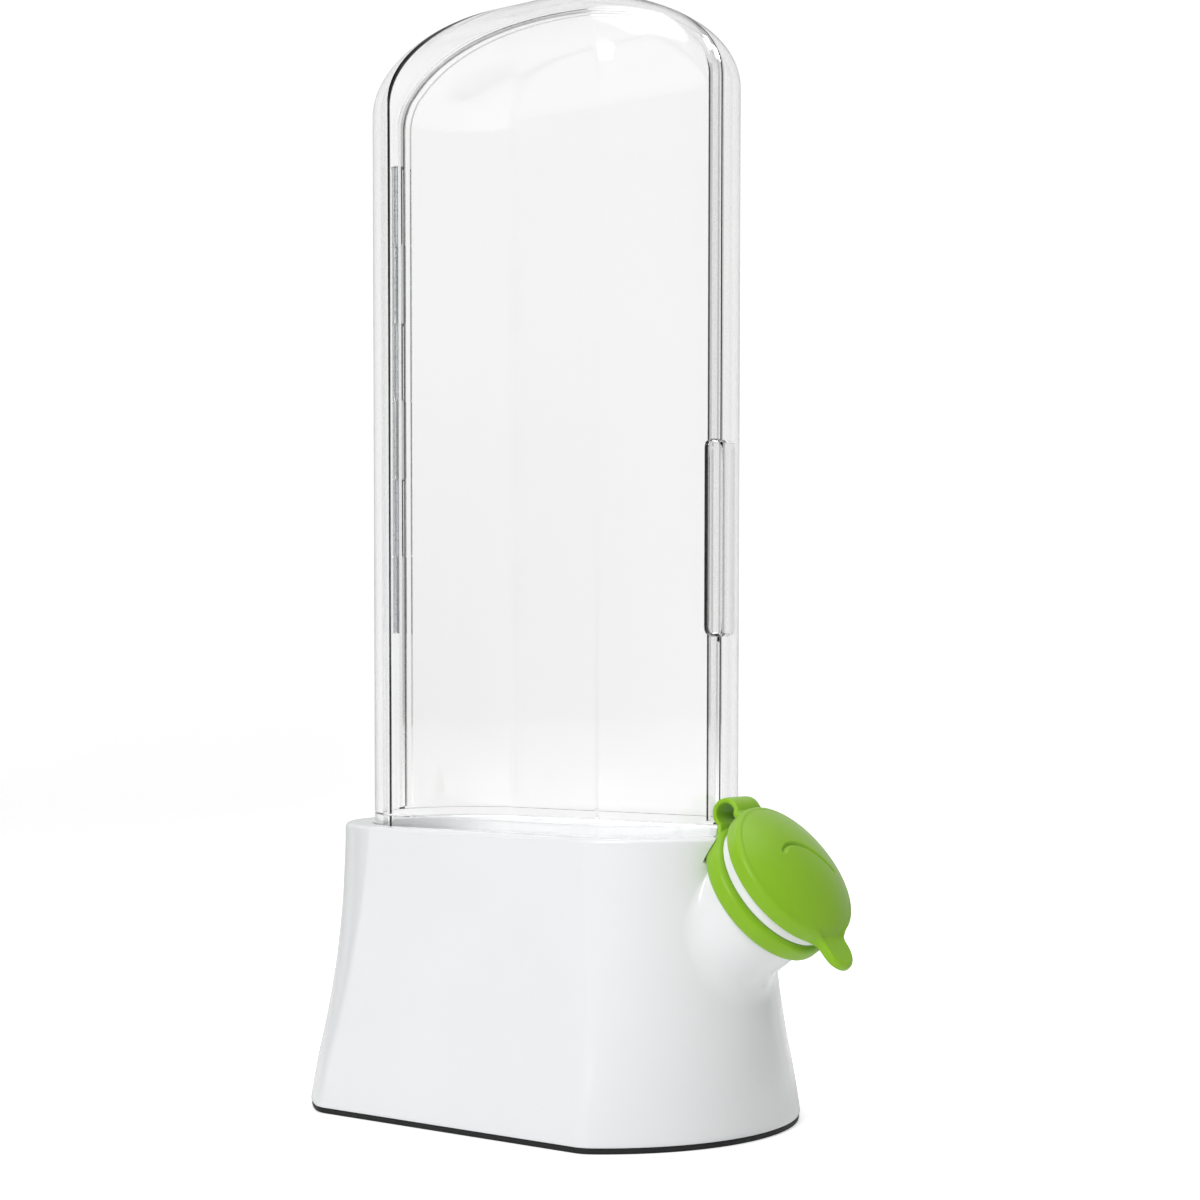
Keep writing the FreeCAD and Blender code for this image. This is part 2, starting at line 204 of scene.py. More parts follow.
def makeSilicone():
    # Lime silicone, moulded in a satin tool: soft sheen, slight depth of colour
    material, tree, shader = newMaterial("limeSilicone")
    place = addNode(tree, "ShaderNodeTexCoord")
    cloud = addNode(tree, "ShaderNodeTexNoise", inputs={"Scale": 60.0, "Detail": 3.0},
                    links=[(place, "Object", "Vector")])
    colour = addNode(tree, "ShaderNodeMix", {"data_type": "RGBA"}, links=[(cloud, "Fac", 0)])
    colour.inputs[6].default_value = hexColour(finish["siliconeLight"])
    colour.inputs[7].default_value = hexColour(finish["siliconeDark"])
    tree.links.new(colour.outputs[2], shader.inputs["Base Color"])
    grain = addNode(tree, "ShaderNodeTexNoise", inputs={"Scale": 2200.0, "Detail": 2.0},
                    links=[(place, "Object", "Vector")])
    bump = addNode(tree, "ShaderNodeBump", inputs={"Strength": 0.12, "Distance": 0.0001},
                   links=[(grain, "Fac", "Height")])
    tree.links.new(bump.outputs[0], shader.inputs["Normal"])
    smear = addNode(tree, "ShaderNodeMapRange", inputs={1: 0.3, 2: 0.7, 3: 0.36, 4: 0.46},
                    links=[(cloud, "Fac", 0)])
    tree.links.new(smear.outputs[0], shader.inputs["Roughness"])
    shader.inputs["IOR"].default_value = 1.42
    shader.inputs["Sheen Weight"].default_value = 0.15
    shader.inputs["Subsurface Weight"].default_value = 0.12
    shader.inputs["Subsurface Radius"].default_value = (0.6, 1.0, 0.2)
    shader.inputs["Subsurface Scale"].default_value = 0.002
    return material


def makeClearPlastic():
    # Clear SAN: glass-like, two millimetres thick, with faint moulding waviness
    material, tree, shader = newMaterial("clearSan")
    place = addNode(tree, "ShaderNodeTexCoord")
    wave = addNode(tree, "ShaderNodeTexNoise", inputs={"Scale": 22.0, "Detail": 1.0},
                   links=[(place, "Object", "Vector")])
    bump = addNode(tree, "ShaderNodeBump", inputs={"Strength": 0.05, "Distance": 0.0006},
                   links=[(wave, "Fac", "Height")])
    tree.links.new(bump.outputs[0], shader.inputs["Normal"])
    smear = addNode(tree, "ShaderNodeMapRange", inputs={1: 0.3, 2: 0.7, 3: 0.01, 4: 0.035},
                    links=[(wave, "Fac", 0)])
    tree.links.new(smear.outputs[0], shader.inputs["Roughness"])
    shader.inputs["Base Color"].default_value = hexColour(finish["clearColour"])
    shader.inputs["Transmission Weight"].default_value = 1.0
    shader.inputs["IOR"].default_value = 1.5
    return material


glossyAbs = makeGlossyAbs()
floorPlastic = makeSatinPlastic("satinFloorPlastic", finish["floorColour"], 0.45)
footRubber = makeSatinPlastic("blackFootRubber", finish["footColour"], 0.6)
limeSilicone = makeSilicone()
clearSan = makeClearPlastic()
pinSteel = makeSatinPlastic("brightPinSteel", finish["pinColour"], 0.3)
pinSteel.node_tree.nodes["Principled BSDF"].inputs["Metallic"].default_value = 1.0
pinSteel.node_tree.nodes["Principled BSDF"].inputs["IOR"].default_value = 1.5

print("base")

base = {
    "footHalfLength": 65.5, "footHalfWidth": 43.0, "footEndRadius": 51.0, "footCorner": 8.0,
    "rimHalfLength": 59.5, "rimHalfWidth": 31.5, "rimEndRadius": 32.2, "rimCorner": 6.0,
    "rimHeight": 72.0, "bottom": 1.4, "wall": 2.4, "deck": 2.4,
    "skirtDepth": 6.0, "skirtWall": 1.6, "rimRound": 1.1, "openingRound": 0.5,
    "flareShare": (0.0, 0.08, 0.17, 0.33, 0.54, 0.76, 1.0),
    "flare": (1.0, 0.90, 0.77, 0.50, 0.235, 0.07, 0.0),
}
pod = {
    "halfLength": 51.2, "halfWidth": 25.3, "endRadius": 26.6, "corner": 3.5,
    "wall": 2.0, "bottom": 12.0, "top": 278.0, "crownRise": 25.3, "opening": 0.6,
    "sill": 75.0, "seam": 0.5,
}
neck = {
    "tilt": 37.0, "x": 69.6, "z": 62.2, "bore": 12.0, "radius": 16.0, "lip": 16.8,
    "lipThick": 3.2, "groove": 14.4, "collarThick": 5.0, "collarRadius": 18.2,
    "recess": 0.25, "rootFlare": 4.2, "rootRun": 6.0,
    "boreRelief": 0.4, "cutDeep": -26, "cutClear": 9,
}
baseDetail = {"end": 26, "corner": 10, "side": 20}


def smoothCurve(shares, values, where):
    # Monotone cubic through the given values, with Fritsch-Carlson slopes
    h = np.diff(shares)
    d = np.diff(values) / h
    m = np.zeros(len(values))
    m[1:-1] = np.where(d[:-1] * d[1:] > 0, 2 * d[:-1] * d[1:] / (d[:-1] + d[1:] + 1e-12), 0)
    m[0], m[-1] = d[0], 0
    i = np.clip(np.searchsorted(shares, where) - 1, 0, len(h) - 1)
    t = (where - shares[i]) / h[i]
    a, b = values[i], values[i + 1]
    return (a * (2 * t ** 3 - 3 * t ** 2 + 1) + b * (3 * t ** 2 - 2 * t ** 3)
            + h[i] * (m[i] * (t ** 3 - 2 * t ** 2 + t) + m[i + 1] * (t ** 3 - t ** 2)))


def baseSizes(z, inset):
    share = np.clip(z / base["rimHeight"], 0, 1)
    f = smoothCurve(np.array(base["flareShare"]), np.array(base["flare"]), np.array([share]))[0]
    mixed = [base["rim" + k] + f * (base["foot" + k] - base["rim" + k])
             for k in ("HalfLength", "HalfWidth", "EndRadius", "Corner")]
    return [mixed[0] - inset, mixed[1] - inset, mixed[2] - inset, max(mixed[3] - inset, 0.4)]


def podSizes(inset):
    return [pod[k] - inset for k in ("halfLength", "halfWidth", "endRadius", "corner")]


def ringRow(sizes, z):
    x, y = fullOutline(*sizes, baseDetail)
    return np.stack([x, y, np.full(len(x), z)], axis=1)


def makeBaseBody():
    # The wall's section carried round the outline: out and up the flare, over the rim and the
    # deck, down the opening's skirt, back under the deck and down the inner wall
    b = base
    rows = []
    foot = b["bottom"]
    for z, inset in ((foot, 0.6), (foot + 0.15, 0.2), (foot + 0.5, 0.0)):
        rows.append(ringRow(baseSizes(z, inset), z))
    for z in np.linspace(foot + 1.6, b["rimHeight"] - b["rimRound"], 44):
        rows.append(ringRow(baseSizes(z, 0), z))
    for turn in np.linspace(0, np.pi / 2, 7)[1:]:
        inset = b["rimRound"] * (1 - np.cos(turn))
        z = b["rimHeight"] - b["rimRound"] * (1 - np.sin(turn))
        rows.append(ringRow(baseSizes(z, inset), z))
    edge = -pod["opening"]
    for turn in np.linspace(0, np.pi / 2, 5):
        inset = edge - b["openingRound"] * (1 - np.sin(turn))
        z = b["rimHeight"] - b["openingRound"] * (1 - np.cos(turn))
        rows.append(ringRow(podSizes(inset), z))
    low = b["rimHeight"] - b["skirtDepth"]
    for z in (b["rimHeight"] - 2, low + 0.3):
        rows.append(ringRow(podSizes(edge), z))
    rows.append(ringRow(podSizes(edge - 0.3), low))
    rows.append(ringRow(podSizes(edge - b["skirtWall"] + 0.3), low))
    under = b["rimHeight"] - b["deck"]
    rows.append(ringRow(podSizes(edge - b["skirtWall"]), low + 0.3))
    rows.append(ringRow(podSizes(edge - b["skirtWall"]), under))
    for z in np.linspace(under, foot, 24):
        rows.append(ringRow(baseSizes(z, b["wall"]), z))
    points = np.stack(rows)
    count, columns = points.shape[:2]
    return points.reshape(-1, 3), gridFaces(count, columns, True, True)


def neckPlace(along, across, sideways):
    # Point by its distance out along the neck, up towards the strap and along Y
    t = math.radians(neck["tilt"])
    x = neck["x"] + along * math.cos(t) - across * math.sin(t)
    z = neck["z"] + along * math.sin(t) + across * math.cos(t)
    return np.stack(np.broadcast_arrays(x, sideways, z), axis=-1)


def turnedRows(profile, columns):
    # (radius, along) points turned about the neck's axis
    turn = np.linspace(0, 2 * np.pi, columns, endpoint=False)
    r = np.array([p[0] for p in profile])[:, None]
    s = np.array([p[1] for p in profile])[:, None]
    return neckPlace(s + 0 * turn, r * np.cos(turn), r * np.sin(turn))


def turnedSolid(name, profile, columns, body, material):
    # A closed profile turned about the neck's axis
    rows = turnedRows(profile, columns)
    faces = gridFaces(len(profile), columns, True, True)
    return addMesh(name, rows.reshape(-1, 3), faces, body, material)


def baseDepth(p):
    # How far a point lies inside the flared wall, along X: half length at its height and Y less its X
    rising = baseDetail["end"] + baseDetail["corner"]
    depth = np.empty(len(p))
    for i, z in enumerate(p[:, 2]):
        sizes = baseSizes(z, 0)
        x, y = outlinePoints(*sizes, baseDetail)
        depth[i] = np.interp(abs(p[i, 1]), y[:rising], x[:rising]) - p[i, 0]
    return depth


def neckRootRows(columns, radius):
    # Where each line along the neck, at the given radius, meets the wall; found by halving
    turn = np.linspace(0, 2 * np.pi, columns, endpoint=False)
    low = np.full(columns, -40.0)
    high = np.full(columns, -5.0)
    across, side = radius * np.cos(turn), radius * np.sin(turn)
    for _ in range(18):
        middle = (low + high) / 2
        inside = baseDepth(neckPlace(middle, across, side)) > 0
        low = np.where(inside, middle, low)
        high = np.where(inside, high, middle)
    return turn, (low + high) / 2


def makeNeck(columns):
    # Lip, groove and tube down to a filleted root, closed by a plug of itself inside the wall.
    # Each column of the fillet is a Bezier, (1 - t)^2 A + 2 t (1 - t) B + t^2 C: A on the tube,
    # B where the tube meets the wall, C on the wall itself
    n = neck
    turn, meet = neckRootRows(columns, n["radius"])
    meet = np.minimum(meet, -n["lipThick"] - n["collarThick"] - 1.3)
    soft = 0.5
    outer = [(n["bore"], 0 - soft), (n["bore"] + soft, 0), (n["lip"] - soft, 0),
             (n["lip"] - 0.15, -0.15), (n["lip"], -soft), (n["lip"], -n["lipThick"] + soft),
             (n["lip"] - soft, -n["lipThick"]),
             (n["groove"], -n["lipThick"]), (n["groove"], -n["lipThick"] - n["collarThick"]),
             (n["radius"] - soft, -n["lipThick"] - n["collarThick"]),
             (n["radius"], -n["lipThick"] - n["collarThick"] - soft)]
    rows = [turnedRows([p], columns)[0] for p in outer]
    start = outer[-1][1] - 0.2
    run = np.clip((start - meet) * 0.85, 0.05, n["rootRun"])
    flare = n["rootFlare"] * run / n["rootRun"]
    far = np.minimum(neckRootRows(columns, n["radius"] + flare)[1], meet + run)
    for t in np.linspace(0, 1, 20):
        along = (1 - t) ** 2 * (meet + run) + 2 * t * (1 - t) * meet + t ** 2 * far
        radius = n["radius"] + flare * t ** 2
        rows.append(neckPlace(along, radius * np.cos(turn), radius * np.sin(turn)))
    sunk = n["radius"] + flare - 0.3
    rows.append(neckPlace(far - 1.4, sunk * np.cos(turn), sunk * np.sin(turn)))
    plug = n["bore"] + n["boreRelief"]
    rows.append(neckPlace(meet - 1.9, plug * np.cos(turn), plug * np.sin(turn)))
    points = np.stack(rows)
    count = len(rows)
    return points.reshape(-1, 3), gridFaces(count, columns, True, True)


def cutBy(piece, tool, operation):
    # Exact boolean with a helper that is taken away again
    step = piece.modifiers.new("cut", "BOOLEAN")
    step.operation = operation
    step.solver = "EXACT"
    step.object = tool
    bpy.context.view_layer.update()
    done = bpy.data.meshes.new_from_object(piece.evaluated_get(bpy.context.evaluated_depsgraph_get()))
    piece.modifiers.remove(step)
    old = piece.data
    piece.data = done
    print("  cut", operation, len(done.vertices))
    bpy.data.meshes.remove(old)
    bpy.data.objects.remove(tool)


def joinTo(piece, tool):
    # Moulds a helper onto a piece, so no inner skin is left where they overlap
    cutBy(piece, outward(tool), "UNION")
    return outward(piece, 38)


def cutRound(piece, low, radius):
    # Takes a round plug out of a piece along the neck, from a depth out to beyond the lip
    high = neck["cutClear"]
    profile = [(0.01, low), (radius, low), (radius, high), (0.01, high)]
    cutBy(piece, outward(turnedSolid("helper", profile, 96, None, glossyAbs)), "DIFFERENCE")


bodyPoints, bodyFaces = makeBaseBody()
baseShell = outward(addMesh("baseShell", bodyPoints, bodyFaces, None, glossyAbs))
cutRound(baseShell, -neck["lipThick"] - neck["collarThick"], neck["collarRadius"] + neck["recess"])
cutRound(baseShell, neck["cutDeep"], neck["bore"] + neck["boreRelief"])
neckPoints, neckFaces = makeNeck(128)
neckTube = outward(addMesh("fillerNeck", neckPoints, neckFaces, "base", glossyAbs), 38)
baseShell.data.polygons.foreach_set("use_smooth", np.ones(len(baseShell.data.polygons), bool))
baseShell.data.set_sharp_from_angle(angle=math.radians(38))
baseShell.data.materials.clear()
baseShell.data.materials.append(glossyAbs)
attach(baseShell, "base")
for piece in (baseShell, neckTube):
    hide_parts("base_shell")


def makeFootRing():
    # A flat ring with rounded edges carried round the foot
    rows = []
    section = ((0.3, 0.5), (0.42, 0.15), (0.8, 0.0), (5.6, 0.0), (6.0, 0.4), (6.0, 1.4), (0.5, 1.4),
               (0.3, 1.2))
    for inset, z in section:
        rows.append(ringRow(baseSizes(base["bottom"], inset), z))
    points = np.stack(rows)
    ring = addMesh("footRing", points.reshape(-1, 3), gridFaces(len(rows), points.shape[1], True, True),
                   "base", footRubber)
    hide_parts("foot_ring")
    return outward(ring, 40)


footRing = makeFootRing()

print("pod")

podDetail = {"end": 34, "corner": 10, "side": 26}


def halfSkin(inset, low, sign, wallRows, crownRows):
    # Wall rows rise from the sill to the crown's spring; above it the outline shrinks by cos(a)
    # while the height grows by sin(a), so the dome leaves the wall without a crease
    seamPlace = pod["seam"] / 2
    x, y = halfOutline(*podSizes(inset), podDetail)
    spring = pod["top"] - pod["crownRise"]
    rise = pod["crownRise"] - inset
    t = np.linspace(0, 1, wallRows)[:, None]
    wall = np.stack(np.broadcast_arrays(x, np.maximum(y, seamPlace), low + t * (spring - low)), axis=-1)
    turn = np.linspace(0, np.pi / 2, crownRows + 1)[1:, None]
    share = np.cos(turn)
    crown = np.stack(np.broadcast_arrays(x * share, np.maximum(y * share, seamPlace),
                                         spring + rise * np.sin(turn)), axis=-1)
    skin = np.concatenate([wall, crown]).copy()
    skin[..., 1] *= sign
    return skin


def closedShell(outer, inner):
    # Outer skin, inner skin and the strips that join their four borders
    rows, columns = outer.shape[:2]
    points = np.concatenate([outer.reshape(-1, 3), inner.reshape(-1, 3)])
    shift = rows * columns
    faces = gridFaces(rows, columns) + gridFaces(rows, columns, start=shift)
    grid = np.arange(rows * columns).reshape(rows, columns)
    border = np.concatenate([grid[0, :], grid[1:, -1], grid[-1, -2::-1], grid[-2:0:-1, 0]])
    following = np.roll(border, -1)
    strips = np.stack([border, following, following + shift, border + shift], axis=-1)
    return points, faces + strips.tolist()


def halfShell(sign, low):
    # Outer and inner skins joined along the sill, the two upright seams and over the crown
    outer = halfSkin(0, low, sign, 30, 40)
    inner = halfSkin(pod["wall"], low, sign, 30, 40)
    return closedShell(outer, inner)


def makePodHalf(name, sign, low, body):
    points, faces = halfShell(sign, low)
    piece = addMesh(name, points, faces, body, clearSan)
    return outward(piece, 45)


podDoor = makePodHalf("podDoor", -1, pod["sill"], "door")
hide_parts("pod_door")
podBack = makePodHalf("podBack", 1, pod["sill"] - pod["seam"], "pod")
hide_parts("pod_body")


def makePodTub():
    # The lower part, closed all round: its wall up to the sill and the edge that holds the floor
    wall, low, high = pod["wall"], pod["bottom"], pod["sill"] - pod["seam"]
    section = [(0.0, high), (0.0, low + 1.0), (0.3, low + 0.3), (1.0, low), (wall + 1.0, low),
               (wall + 1.0, low + wall), (wall + 0.3, low + wall + 0.3), (wall, low + wall + 1.0),
               (wall, high)]
    rows = []
    for inset, z in section:
        x, y = fullOutline(*podSizes(inset), podDetail)
        rows.append(np.stack([x, y, np.full(len(x), z)], axis=1))
    points = np.stack(rows)
    count, columns = points.shape[:2]
    tub = addMesh("podTub", points.reshape(-1, 3), gridFaces(count, columns, True, True), "pod",
                  clearSan)
    return outward(tub, 40)


podTub = makePodTub()


slots = {"count": 6, "pitch": 12.4, "radius": 2.0, "straight": 11.0, "sides": 24, "under": 1, "tall": 4}


def prism(low, height):
    # Points and faces of an upright prism on a ring of points
    count = len(low)
    ring = np.arange(count)
    following = (ring + 1) % count
    sides = np.stack([ring, following, following + count, ring + count], axis=-1).tolist()
    caps = [ring.tolist()[::-1], (ring + count).tolist()]
    return np.concatenate([low, low + [0, 0, height]]), sides + caps


def makePodFloor():
    # Floor plate inside the tub, with a row of round-ended drain slots cut through it
    x, y = fullOutline(*podSizes(pod["wall"] + 1.0), podDetail)
    points, faces = prism(np.stack([x, y, np.full(len(x), pod["bottom"])], axis=1), pod["wall"])
    plate = outward(addMesh("podFloor", points, faces, None, clearSan))
    turn = np.linspace(0, 2 * np.pi, slots["sides"], endpoint=False)
    end = np.where(np.sin(turn) >= 0, slots["straight"], -slots["straight"])
    for number in range(slots["count"]):
        sx = (number - (slots["count"] - 1) / 2) * slots["pitch"] + slots["radius"] * np.cos(turn)
        sy = slots["radius"] * np.sin(turn) + end
        under = np.full(slots["sides"], pod["bottom"] - slots["under"])
        points, faces = prism(np.stack([sx, sy, under], axis=1), slots["tall"])
        cutBy(plate, outward(addMesh("helper", points, faces, None, clearSan)), "DIFFERENCE")
    plate.data.polygons.foreach_set("use_smooth", np.zeros(len(plate.data.polygons), bool))
    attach(plate, "pod")
    return plate


podFloor = makePodFloor()


tongue = {"gap": 0.2, "thick": 1.0, "sunk": 0.6, "lap": -2.0, "step": 0.35, "root": 2.2, "foot": 0.3}


def makeTongue():
    # Thin inner rib along the seam of the fixed half that laps inside the door
    inset = pod["wall"] + tongue["gap"]
    half = pod["halfLength"] - inset
    turn = np.linspace(0, np.pi, 90)
    spring = pod["top"] - pod["crownRise"]
    foot = pod["sill"] + tongue["foot"]

    def archPath(push):
        rise = pod["crownRise"] - inset - push
        x = np.concatenate([[half - push], (half - push) * np.cos(turn), [-half + push]])
        z = np.concatenate([[foot], spring + rise * np.sin(turn), [foot]])
        return x, z

    free, sunk, inner = archPath(0.0), archPath(-tongue["sunk"]), archPath(tongue["thick"])
    count = len(free[0])
    section = [(free, tongue["lap"]), (free, tongue["step"]), (sunk, tongue["step"]),
               (sunk, tongue["root"]), (inner, tongue["root"]), (inner, tongue["lap"])]
    rows = np.stack([np.stack([path[0], np.full(count, y), path[1]], axis=1) for path, y in section])
    faces = gridFaces(6, count, True, False)
    faces += [[row * count for row in range(6)], [row * count + count - 1 for row in range(5, -1, -1)]]
    return addMesh("helper", rows.reshape(-1, 3), faces, None, clearSan)


joinTo(podBack, makeTongue())


tab = {
    "low": 119.5, "high": 166.5, "left": -6.0, "right": 5.3, "corner": 2.2, "proud": 0.2,
    "thick": 1.2, "edge": 0.9, "rooted": -0.25, "sunk": -0.8,
}


def makeTab():
    # Thumb plate that laps over the seam at the front end: a curved patch with rounded edges
    columns, rows = 40, 60
    centre = pod["halfLength"] - pod["endRadius"]
    radius = pod["endRadius"] + tab["proud"]
    corner = tab["corner"]
    a = np.linspace(-1, 1, columns)[None, :]
    b = np.linspace(-1, 1, rows)[:, None]
    halfHeight, halfWide = (tab["high"] - tab["low"]) / 2, (tab["right"] - tab["left"]) / 2
    # Rounded rectangle: each row is drawn in near the ends by the corner's circle
    overEnd = np.clip(np.abs(b) * halfHeight - (halfHeight - corner), 0, corner)
    reach = halfWide - (corner - np.sqrt(corner ** 2 - overEnd ** 2))
    y = (tab["left"] + tab["right"]) / 2 + a * reach
    z = (tab["low"] + tab["high"]) / 2 + b * halfHeight + 0 * a
    # Thickness: a quarter circle in from the edge, never quite nothing
    edge = np.minimum(reach - np.abs(a) * reach, halfHeight - np.abs(b) * halfHeight)
    share = np.clip(edge / tab["edge"], 0, 1)
    thick = tab["thick"] * np.sqrt(np.clip(1 - (1 - share) ** 2, 0, 1)) * 0.999 + 0.001
    angle = y / radius

    def skin(push):
        out = radius + push
        return np.stack([centre + out * np.cos(angle), out * np.sin(angle), z], axis=-1)

    points, faces = closedShell(skin(thick), skin(np.where(y < tab["rooted"], tab["sunk"], 0.0)))
    return addMesh("helper", points, faces, None, clearSan)


joinTo(podDoor, makeTab())

print("hinge")

hinge = {
    "x": -53.1, "radius": 1.7, "low": 121.0, "high": 244.0, "count": 6, "gap": 0.3,
    "webX": -50.2, "webFrom": 0.15, "sides": 48, "endShrink": 0.85, "endRound": 0.25,
}


def makeKnuckles(first, sign):
    # Each knuckle: a round barrel whose section opens into a web that meets the pod's wall
    pitch = (hinge["high"] - hinge["low"]) / hinge["count"]
    sides = hinge["sides"]
    turn = np.linspace(0, 2 * np.pi, sides, endpoint=False)
    x = hinge["x"] + hinge["radius"] * np.cos(turn)
    y = hinge["radius"] * np.sin(turn)
    web = (np.cos(turn) > 0) & (np.sin(turn) * sign > hinge["webFrom"])
    x = np.where(web, hinge["webX"], x)
    pieces, faces = [], []
    for number in range(first, hinge["count"], 2):
        low = hinge["low"] + number * pitch + hinge["gap"] / 2
        high = low + pitch - hinge["gap"]
        rows = []
        for z, shrink in ((low, hinge["endShrink"]), (low + hinge["endRound"], 1.0),
                          (high - hinge["endRound"], 1.0), (high, hinge["endShrink"])):
            across = hinge["x"] + (x - hinge["x"]) * shrink
            rows.append(np.stack([across, y * shrink, np.full(sides, z)], axis=1))
        start = sum(len(p) for p in pieces)
        last = start + 3 * sides
        pieces.append(np.concatenate(rows))
        faces += gridFaces(4, sides, False, True, start)
        faces += [list(range(start, start + sides))[::-1], list(range(last, last + sides))]
    return addMesh("helper", np.concatenate(pieces), faces, None, clearSan)


joinTo(podBack, makeKnuckles(0, 1))
joinTo(podDoor, makeKnuckles(1, -1))
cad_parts["hinge_pin"].data.materials.clear()
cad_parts["hinge_pin"].data.materials.append(pinSteel)
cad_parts["base_floor"].data.materials.clear()
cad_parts["base_floor"].data.materials.append(floorPlastic)

# Clear plastic lets light through to what it holds
for clearPiece in (podDoor, podBack, podTub, podFloor):
    clearPiece.visible_shadow = False

print("cap")

cap = {
    "radius": 18.4, "side": 3.4, "dome": 5.2, "edgeRound": 1.3, "plug": 11.7, "plugWall": 1.8,
    "plugDepth": 5.0, "tabReach": 8.0, "tabWidth": 9.0, "tabLow": 0.7, "tabHigh": 2.9, "tabFillet": 3.0,
    "wave": ((-6.9, 3.2), (-3.6, 4.6), (0.2, 4.2), (3.6, 1.9), (6.6, -0.6), (9.4, -3.4)),
    "waveWidth": 0.6, "waveDepth": 0.75,
}


def capEdge(turn):
    # Distance to the cap's edge: a circle joined to a rounded tab by a smooth minimum of the two
    # signed distances, read off along each ray
    reach = np.linspace(15.0, cap["radius"] + cap["tabReach"] + 1, 700)[None, :]
    across = reach * np.cos(turn)[:, None]
    side = reach * np.sin(turn)[:, None]
    disc = np.hypot(across, side) - cap["radius"]
    half = cap["tabWidth"] / 2
    tip = -(cap["radius"] + cap["tabReach"] - half)
    strip = np.hypot(side, across - np.clip(across, tip, 0)) - half
    k = cap["tabFillet"]
    share = np.clip(0.5 + 0.5 * (strip - disc) / k, 0, 1)
    joined = strip * (1 - share) + disc * share - k * share * (1 - share)
    inside = joined < 0
    last = reach.shape[1] - 1 - np.argmax(inside[:, ::-1], axis=1)
    return reach[0, last]


def domeHeight(r):
    share = np.clip(r / cap["radius"], 0, 1)
    return cap["side"] + cap["dome"] * (1 - share ** 2.3)


def waveDistance(side, across):
    # Distance to the wave, a smooth curve through its points
    knots = np.array(cap["wave"])
    t = np.arange(len(knots))
    fine = np.linspace(0, len(knots) - 1, 200)
    fit = [np.polynomial.polynomial.polyfit(t, knots[:, i], 4) for i in (0, 1)]
    line = np.stack([np.polynomial.polynomial.polyval(fine, f) for f in fit], axis=1)
    flat = np.stack([side.ravel(), across.ravel()], axis=1)
    gap = np.full(len(flat), 99.0)
    for i in range(0, len(flat), 4000):
        part = flat[i:i + 4000]
        gap[i:i + 4000] = np.sqrt(((part[:, None, :] - line[None]) ** 2).sum(-1)).min(1)
    return gap.reshape(side.shape)


def makeCap():
    # Rows from the crown's pole out over the dome, round the edge, back under the seat, down the
    # plug's skirt and up inside it to the pole again
    columns = 320
    turn = np.linspace(0, 2 * np.pi, columns, endpoint=False)
    edge = capEdge(turn)
    tabShare = np.clip((edge - cap["radius"]) / 2.0, 0, 1)[None, :]
    r0 = cap["edgeRound"]
    rows = []
    inner = np.concatenate([[0.02], np.linspace(0.3, 15.6, 60)])[:, None]
    topRadius = inner + 0 * edge
    rest = np.linspace(0.02, 1, 14)[:, None]
    outerRadius = 15.6 + rest * (edge - r0 - 15.6)
    radius = np.concatenate([topRadius, outerRadius])
    rise = domeHeight(radius)
    slope = np.clip((radius - (cap["radius"] - 1.8)) / 3.2, 0, 1)
    slope = slope * slope * (3 - 2 * slope)
    topLevel = rise * (1 - slope * tabShare) + cap["tabHigh"] * slope * tabShare
    side, across = radius * np.sin(turn), radius * np.cos(turn)
    groove = np.clip(1 - waveDistance(side, across) / cap["waveWidth"], 0, 1)
    topLevel = topLevel - cap["waveDepth"] * groove ** 0.8
    rows.append(np.stack([radius, topLevel], axis=-1))
    edgeTop = topLevel[-1]
    edgeLow = cap["tabLow"] * tabShare[0]
    height = (edgeTop - edgeLow) / 2
    rounding = np.minimum(r0, height)
    for a in np.linspace(0, np.pi / 2, 7)[1:]:
        level = edgeTop - rounding * (1 - np.cos(a))
        rows.append(np.stack([edge - r0 + r0 * np.sin(a), level], axis=-1)[None])
    small = np.minimum(0.6, height)
    for a in np.linspace(0, np.pi / 2, 5):
        level = edgeLow + small * (1 - np.sin(a))
        rows.append(np.stack([edge - small * (1 - np.cos(a)), level], axis=-1)[None])
    for share in (0.35, 0.7, 1.0):
        r = edge * (1 - share) + 16.0 * share
        low = edgeLow * (1 - share)
        rows.append(np.stack([r, low + 0 * r], axis=-1)[None])
    p, w, d = cap["plug"], cap["plugWall"], cap["plugDepth"]
    section = [(p + 0.3, 0.0), (p, -0.3), (p, -2.1), (p + 0.12, -2.4), (p + 0.15, -2.6), (p + 0.12, -2.8),
               (p, -3.1), (p, -d + 0.8), (p - 0.25, -d + 0.2), (p - 0.6, -d), (p - w + 0.2, -d),
               (p - w, -d + 0.3), (p - w, 0.6), (p - w - 0.6, 2.0), (6.0, 4.9), (3.0, 6.2), (0.02, 6.5)]
    for r, z in section:
        rows.append(np.stack([np.full(columns, r), np.full(columns, z)], axis=-1)[None])
    grid = np.concatenate([row.reshape(-1, columns, 2) for row in rows])
    points = neckPlace(grid[..., 1], grid[..., 0] * np.cos(turn), grid[..., 0] * np.sin(turn))
    count = len(points)
    faces = gridFaces(count, columns, False, True)
    faces += [list(range(columns))[::-1], list(range((count - 1) * columns, count * columns))]
    piece = addMesh("fillerCap", points.reshape(-1, 3), faces, "cap", limeSilicone)
    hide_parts("cap")
    return outward(piece, 55)


fillerCap = makeCap()


def roundedSection(low, high, inside, outside, soft, steps=5):
    # Closed section of a ring with rounded outer corners
    section = [(inside, low)]
    for a in np.linspace(-np.pi / 2, 0, steps):
        section.append((outside - soft + soft * np.cos(a), low + soft + soft * np.sin(a)))
    for a in np.linspace(0, np.pi / 2, steps):
        section.append((outside - soft + soft * np.cos(a), high - soft + soft * np.sin(a)))
    section.append((inside, high))
    return section


